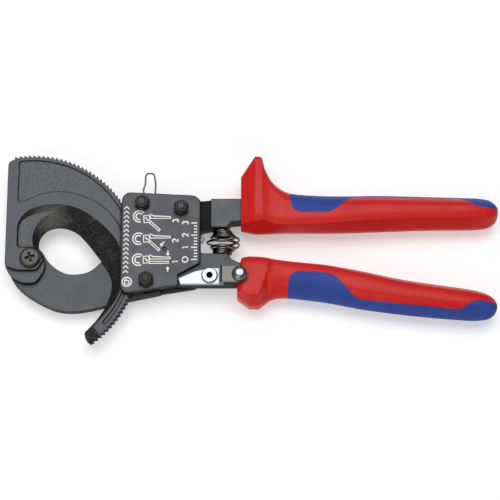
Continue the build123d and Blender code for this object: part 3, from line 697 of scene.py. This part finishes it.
def spring_path():
    """A double cone of wire: close turns at its ends, and open ones at its wide middle."""
    steps = SPRING_TURNS * STEPS_PER_TURN
    pitches = []
    for step in range(steps):
        middle = math.sin(math.pi * (step + 0.5) / steps)
        pitches.append(1 + (SPRING_OPENING - 1) * middle ** SPRING_OPEN_POWER)
    low, high = SPRING_LOW + SPRING_WIRE_R, SPRING_HIGH - SPRING_WIRE_R
    scale = (high - low) / sum(pitches)
    points = []
    rise = low
    for step in range(steps + 1):
        bulge = 1 - abs(2 * step / steps - 1)
        flare = SPRING_PLAIN_CONE * bulge + (1 - SPRING_PLAIN_CONE) * bulge ** SPRING_FLARE_POWER
        radius = SPRING_END_R + (SPRING_WAIST_R - SPRING_END_R) * flare
        angle = 2 * math.pi * step / STEPS_PER_TURN
        centre_x = SPRING_X + SPRING_BOW * bulge
        points.append((centre_x + radius * math.cos(angle), rise, radius * math.sin(angle)))
        if step < steps:
            rise += pitches[step] * scale
    return points


def build_spring():
    """The return spring, stretched between the arm that stays and the one that moves."""
    spring = wire_object("double_cone_spring", spring_path(), SPRING_WIRE_R)
    spring.data.materials.append(SPRING_STEEL)
    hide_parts("return_spring")
    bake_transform(spring)


# ---------------------------------------------------------------- printing on the plate
INK_THICKNESS = 0.03
INK_Z = PLATE_FACE_Z + 0.012
INK_WIDTH = 0.62
STEP_X = 60.8              # where the three step drawings stand
DIGIT_X = 73.6             # and the number beside each
PADLOCK = (49.4, -13.2)    # centre of the ring round the padlock
SCALE_END_X = 84.6         # right ends of the scale's marks
SCALE_DIGIT_X = 78.6
SCALE_LOW_Y = -1.6
SCALE_PITCH = 1.6
MARKS_PER_DIGIT = 4


def ink_line(name, points, closed):
    """One printed stroke on the front plate."""
    return wire_object(name, [(x, y, INK_Z) for x, y in points], INK_WIDTH / 2, closed, flatten=INK_Z)


def arc_points(centre, radius, start, end, steps=14):
    """Points along an arc between two angles in degrees."""
    points = []
    for step in range(steps + 1):
        angle = math.radians(start + (end - start) * step / steps)
        points.append((centre[0] + radius * math.cos(angle), centre[1] + radius * math.sin(angle)))
    return points


def shifted(points, x, y, turn=0.0):
    """Points turned about their origin and then moved."""
    cosine, sine = math.cos(math.radians(turn)), math.sin(math.radians(turn))
    return [(x + px * cosine - py * sine, y + px * sine + py * cosine) for px, py in points]


def digit_strokes(digit):
    """A digit from 0 to 3, about 3 mm high and drawn upright about its centre."""
    if digit == 0:
        return [arc_points((0, 0), 1.4, 90, 435)]
    if digit == 1:
        return [[(-0.5, 0.8), (0.1, 1.4), (0.1, -1.4)]]
    if digit == 2:
        return [arc_points((0, 0.6), 0.8, 170, -40) + [(-0.8, -1.4), (0.9, -1.4)]]
    return [arc_points((0, 0.7), 0.7, 150, -80), arc_points((0, -0.65), 0.78, 80, -150)]


def step_pictogram(x, y, opening, raised):
    """A small line drawing of a jaw, a body and two handles, for one step of opening the blade."""
    lines = []
    for radius in (3.0, 1.7):
        lines.append((shifted(arc_points((-5.8, 0.0), radius, 50, 300), x, y, raised), False))
    lines.append((shifted([(-3.4, 1.7), (-0.6, 1.9), (-0.2, -1.7), (-3.2, -1.9)], x, y), True))
    lines.append((shifted([(-2.6, 0.9), (-1.0, -0.9)], x, y), False))
    lines.append((shifted([(0.0, 0.3), (10.2, 0.4), (10.2, 1.3), (1.8, 1.6), (0.0, 2.6)], x, y), True))
    reach = 6.8 if opening else 9.6
    handle = [(0.0, 0.4), (reach, 0.4), (reach, -0.6), (0.0, -0.7)]
    lines.append((shifted(handle, x - 0.2, y - 1.3, -opening), True))
    return lines


def arrow_strokes(x, y, turn, length=2.4):
    """An arrow whose head is at a point, turned by an angle in degrees."""
    return [(shifted([(0, 0), (length, 0)], x, y, turn), False),
            (shifted([(0.9, 0.7), (0.0, 0.0), (0.9, -0.7)], x, y, turn), False)]


def printed_digit(digit, x, y):
    """A digit given a quarter turn, so that it reads from the right."""
    return [(shifted(stroke, x, y, 90), False) for stroke in digit_strokes(digit)]


def step_lines():
    """The three numbered steps of opening the blade, with the arrows between them."""
    lines = []
    for digit, y, opening, raised in ((3, 19.7, 43, -14), (2, 9.3, 43, 0), (1, -1.7, 0, 0)):
        lines += step_pictogram(STEP_X, y, opening, raised)
        lines += printed_digit(digit, DIGIT_X, y - 1.0)
    lines += arrow_strokes(69.9, 0.6, 90) + arrow_strokes(69.9, -5.6, -90)
    lines += arrow_strokes(66.2, 5.6, 50, 2.8)
    return lines


def padlock_lines():
    """An open padlock in a ring."""
    x, y = PADLOCK
    ring = arc_points(PADLOCK, 2.3, 0, 345, 28)
    body = [(-1.1, -0.9), (1.1, -0.9), (1.1, 0.7), (-1.1, 0.7)]
    shackle = [(-0.7, 0.7), (-0.7, 1.4), (0.1, 1.6)]
    return [(ring, True), (shifted(body, x, y - 0.2), True), (shifted(shackle, x, y - 0.2), False)]


def chevron_lines():
    """A column of chevrons along the edge of the plate."""
    lines = []
    for index in range(15):
        y = -8.6 + index * 2.4
        lines.append(([(47.4, y), (48.7, y + 1.3), (50.0, y)], False))
    return lines


def scale_lines():
    """A plain scale numbered from 0 to 3."""
    lines = []
    for index in range(3 * MARKS_PER_DIGIT + 1):
        y = SCALE_LOW_Y + index * SCALE_PITCH
        reach = 3.0 if index % MARKS_PER_DIGIT == 0 else 1.6
        lines.append(([(SCALE_END_X - reach, y), (SCALE_END_X, y)], False))
    for digit in range(4):
        lines += printed_digit(digit, SCALE_DIGIT_X, SCALE_LOW_Y + digit * MARKS_PER_DIGIT * SCALE_PITCH)
    return lines


def build_printing():
    """All the strokes on the plate, as one thin piece."""
    lines = step_lines() + padlock_lines() + chevron_lines() + scale_lines()
    strokes = [ink_line(f"stroke_{index}", points, closed) for index, (points, closed) in enumerate(lines)]
    ink = joined("plate_printing", strokes)
    ink.data.materials.append(printing_ink())
    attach(ink, "head")


# ---------------------------------------------------------------- studio
VIEW_ELEVATION = math.radians(74.5)
VIEW_DISTANCE = 0.9        # metres, as all lengths in this section
VIEW_TARGET = place(111.4, 5.57, 0.0)
VIEW_LENS = 127.0          # focal length in millimetres
SENSOR_WIDTH = 36.0
FLOOR_HALF = 3
SKY_STRENGTH = 0.45
HORIZON = (0.1, (0.35, 0.35, 0.36, 1))       # height in the sky and colour there
ZENITH = (0.85, (1.0, 1.0, 1.0, 1))


def area_light(name, position, size, power):
    """A soft rectangular light aimed at the middle of the tool."""
    data = bpy.data.lights.new(name, "AREA")
    data.shape = "RECTANGLE"
    data.size, data.size_y = size
    data.energy = power
    light = bpy.data.objects.new(name, data)
    light.location = position
    light.rotation_euler = (-Vector(position)).to_track_quat("-Z", "Y").to_euler()
    bpy.context.scene.collection.objects.link(light)


def build_floor():
    """A plain floor under the tool."""
    corners = [(-FLOOR_HALF, -FLOOR_HALF, 0), (FLOOR_HALF, -FLOOR_HALF, 0),
               (FLOOR_HALF, FLOOR_HALF, 0), (-FLOOR_HALF, FLOOR_HALF, 0)]
    floor = mesh_object("studio_floor", corners, [(0, 1, 2, 3)])
    floor.data.materials.append(studio_floor())


def build_sky():
    """A sky that is bright overhead and dimmer towards the horizon."""
    world = bpy.data.worlds.new("studio_world")
    world.use_nodes = True
    nodes, links = world.node_tree.nodes, world.node_tree.links
    background = nodes["Background"]
    axes = nodes.new("ShaderNodeSeparateXYZ")
    links.new(nodes.new("ShaderNodeTexCoord").outputs["Generated"], axes.inputs[0])
    ramp = nodes.new("ShaderNodeValToRGB")
    for element, (position, colour) in zip(ramp.color_ramp.elements, (HORIZON, ZENITH)):
        element.position = position
        element.color = colour
    links.new(axes.outputs["Z"], ramp.inputs[0])
    links.new(ramp.outputs[0], background.inputs["Color"])
    background.inputs["Strength"].default_value = SKY_STRENGTH
    bpy.context.scene.world = world


def build_camera():
    """The main view: the tool from the front, from a little below square."""
    camera_data = bpy.data.cameras.new("photo_camera")
    camera_data.lens = VIEW_LENS
    camera_data.sensor_width = SENSOR_WIDTH
    camera = bpy.data.objects.new("photo_camera", camera_data)
    back = Vector((0, -math.cos(VIEW_ELEVATION), math.sin(VIEW_ELEVATION)))
    camera.location = VIEW_TARGET + back * VIEW_DISTANCE
    camera.rotation_euler = (-back).to_track_quat("-Z", "Y").to_euler()
    bpy.context.scene.collection.objects.link(camera)
    bpy.context.scene.camera = camera
    bpy.context.scene.view_settings.view_transform = "Standard"


def build_studio():
    """The floor, the lights, the sky and the camera."""
    build_floor()
    build_sky()
    area_light("top_light", (-0.02, 0.27, 0.95), size=(0.8, 0.6), power=6.0)
    area_light("low_light", (-0.3, -0.65, 0.6), size=(0.6, 0.5), power=2.2)
    build_camera()


# ---------------------------------------------------------------- assembly
RED = hard_grip()
BLUE = soft_grip()
SPRING_STEEL = plain_metal("dark_spring_steel", linear(92, 88, 83), linear(176, 172, 166), 0.16,
                           metallic=1.0, edge=0.1)
BLACKENED = plain_metal("blackened_fastener", linear(40, 39, 38), linear(120, 116, 108), 0.4, speckle=0.2)
HARDENED = plain_metal("hardened_steel", linear(120, 122, 126), linear(170, 172, 176), 0.35)
PLATE = linear(77, 79, 83)
PLATE_SHADE = linear(73, 75, 79)
NODE_FINISHES = {
    "moving_blade": cast_blade(),
    "fixed_blade": burnished_steel("fixed_blade_steel"),
    # painted shade: the arm is darkened below 4.4 mm, where it runs in under the plates
    "fixed_arm": burnished_steel("fixed_arm_steel", linear(86, 89, 93), linear(80, 83, 87),
                                 painted_shade_below=4.4),
    "moving_arm": burnished_steel("moving_arm_steel"),
    "front_plate": burnished_steel("front_plate_coating", PLATE, PLATE_SHADE),
    "rear_plate": burnished_steel("rear_plate_coating", PLATE, PLATE_SHADE),
    "plate_bolts": BLACKENED,
    "lock_nuts": BLACKENED,
    "upper_spring_seat": BLACKENED,
    "lower_spring_seat": BLACKENED,
    "nut_rings": nylon(),
    "pivot_screw": recessed_screw(),
    "holding_pawl_bush": HARDENED,
    "handle_hinge_bush": HARDENED,
    "pivot_bush": HARDENED,
    "pivot_nut": HARDENED,
    "drive_pawl": HARDENED,
    "drive_pawl_pin": HARDENED,
    "holding_pawl": HARDENED,
    "release_loop": plain_metal("release_wire", linear(88, 92, 94), linear(128, 131, 133), 0.45,
                                edge=0.05),
    "linkage_spring": plain_metal("linkage_wire", linear(110, 108, 104), linear(190, 188, 184), 0.25,
                                  edge=0.05),
    "catch_washer": plain_metal("washer_steel", linear(110, 112, 114), linear(180, 182, 184), 0.35),
    "catch_lever": bent_catch(),
    "catch_knob": plain_metal("knob_chrome", linear(120, 122, 124), linear(190, 191, 192), 0.08,
                              metallic=1.0, speckle=0.1),
    "catch_rivet": holed_rivet(),
    # finer pieces replace these five
    "fixed_grip": RED,
    "moving_grip": RED,
    "fixed_grip_inlay": BLUE,
    "moving_grip_inlay": BLUE,
    "return_spring": SPRING_STEEL,
}

for node, material in NODE_FINISHES.items():
    node_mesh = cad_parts[node].data
    node_mesh.materials.clear()
    node_mesh.materials.append(material)

two_colour_grip("fixed", FIXED_STATIONS, FIXED_INLAY, FIXED_TANG, "head")
two_colour_grip("moving", MOVING_STATIONS, MOVING_INLAY, MOVING_TANG, "moving_handle")
build_spring()
build_printing()
build_studio()
